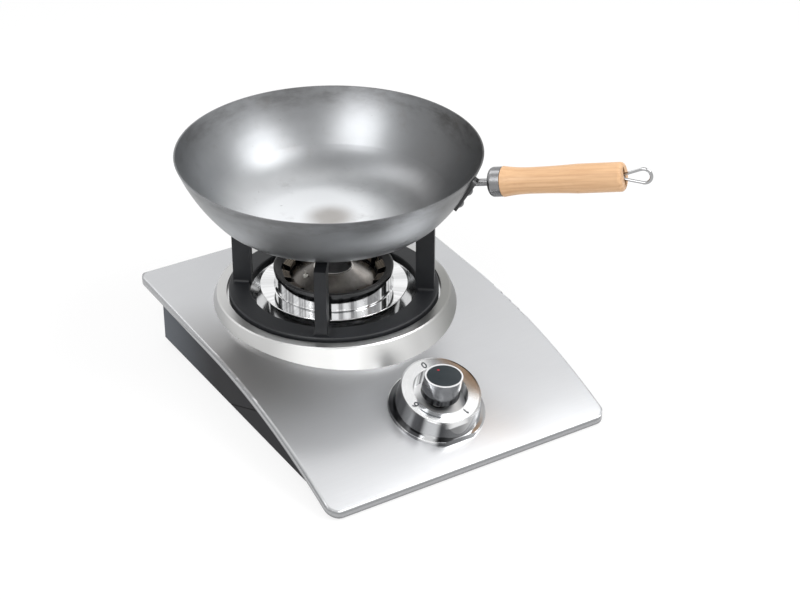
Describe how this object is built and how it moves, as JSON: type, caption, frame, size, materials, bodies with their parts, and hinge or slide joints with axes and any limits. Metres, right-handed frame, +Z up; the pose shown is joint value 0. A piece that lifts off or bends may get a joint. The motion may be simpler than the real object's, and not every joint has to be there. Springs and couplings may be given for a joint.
{
  "type": "wok burner",
  "caption": "Table-top gas wok burner with a curved steel top, a slotted flame ring inside a chrome sleeve, a legged pan support, a large control knob and a wooden-handled wok.",
  "frame": {"origin": "on the table under the burner's axis", "axes": "+X to the operator's right, +Y to the back, +Z up"},
  "size_m": [0.3608, 0.4237, 0.2683],
  "materials": {
    "brushed_top": "fine brushed, lengthwise grain",
    "collar_steel": "spun satin",
    "dark_paint": "dark grey, low sheen",
    "zinc": "bright zinc plate",
    "foot_rubber": "matt",
    "polished_steel": "polished",
    "cast_aluminium": "as cast",
    "bright_chrome": "mirror chrome",
    "black_enamel": "black enamel on iron",
    "ceramic": null,
    "lead_sleeve": "silicone sleeve",
    "ivory_plastic": "moulded",
    "gas_brass": "machined",
    "pipe_aluminium": "drawn",
    "spring_steel": "drawn wire",
    "knob_chrome": "satin chrome",
    "dial_silver": "silver with dark marks",
    "knob_satin": "chrome",
    "cap_dark": "dark grey",
    "dot_red": "red",
    "black_iron": "matt black enamel",
    "wok_steel": "bare carbon steel",
    "bracket_steel": "bare steel",
    "rivet_steel": "bright steel",
    "rod_steel": "bright steel",
    "grip_wood": "pale varnished wood",
    "loop_wire": "bright wire"
  },
  "bodies": {
    "base": {"top_panel": "brushed_top", "burner_collar": "collar_steel", "rear_housing": "dark_paint", "base_tray": "dark_paint", "panel_brackets": "zinc", "rubber_feet": "foot_rubber", "foot_screws": "zinc", "tray_screws": "zinc", "drip_bowl": "polished_steel", "burner_base": "cast_aluminium", "burner_posts": "zinc", "burner_screws": "zinc", "post_screws": "zinc", "burner_skirt": "bright_chrome", "flame_cone": "polished_steel", "spark_electrode": "ceramic", "ignition_lead": "lead_sleeve", "piezo_igniter": "ivory_plastic", "piezo_clip": "zinc", "injector": "gas_brass", "injector_bracket": "zinc", "outlet_pipe": "pipe_aluminium", "inlet_pipe": "pipe_aluminium", "inlet_fitting": "gas_brass", "inlet_nut": "gas_brass", "valve_body": "gas_brass", "valve_nut": "gas_brass", "return_spring": "spring_steel", "bezel": "knob_chrome", "dial_plate": "dial_silver"},
    "tap": {"tap_plug": "gas_brass"},
    "knob": {"spindle": "zinc", "knob": "knob_satin", "knob_cap": "cap_dark", "knob_pointer": "dot_red"},
    "flame_ring": {"flame_ring": "black_enamel"},
    "pan_support": {"trivet": "black_iron"},
    "wok": {"wok_pan": "wok_steel", "handle_bracket": "bracket_steel", "handle_rivets": "rivet_steel", "handle_rod": "rod_steel", "ferrule": "rod_steel", "handle_grip": "grip_wood", "hanging_loop": "loop_wire"}
  },
  "joints": [
    {"name": "tap_turn", "type": "hinge", "parent": "base", "child": "tap", "pos_m": [0, -0.199, 0.03363], "axis": [0, -0.2824, 0.9593], "range_deg": [0, 180]},
    {"name": "knob_push", "type": "slide", "parent": "tap", "child": "knob", "axis": [0, 0.2824, -0.9593], "range_m": [0, 0.004], "stiffness_N_per_m": 800, "springref_m": -0.002, "deforming": ["return_spring"]},
    {"name": "ring_lift", "type": "slide", "parent": "base", "child": "flame_ring", "axis": [0, 0, 1], "range_m": [0, 0.05]},
    {"name": "support_lift", "type": "slide", "parent": "base", "child": "pan_support", "axis": [0, 0, 1], "range_m": [0, 0.06]},
    {"name": "wok_lift", "type": "slide", "parent": "pan_support", "child": "wok", "axis": [0, 0, 1], "range_m": [0, 0.1]}
  ]
}
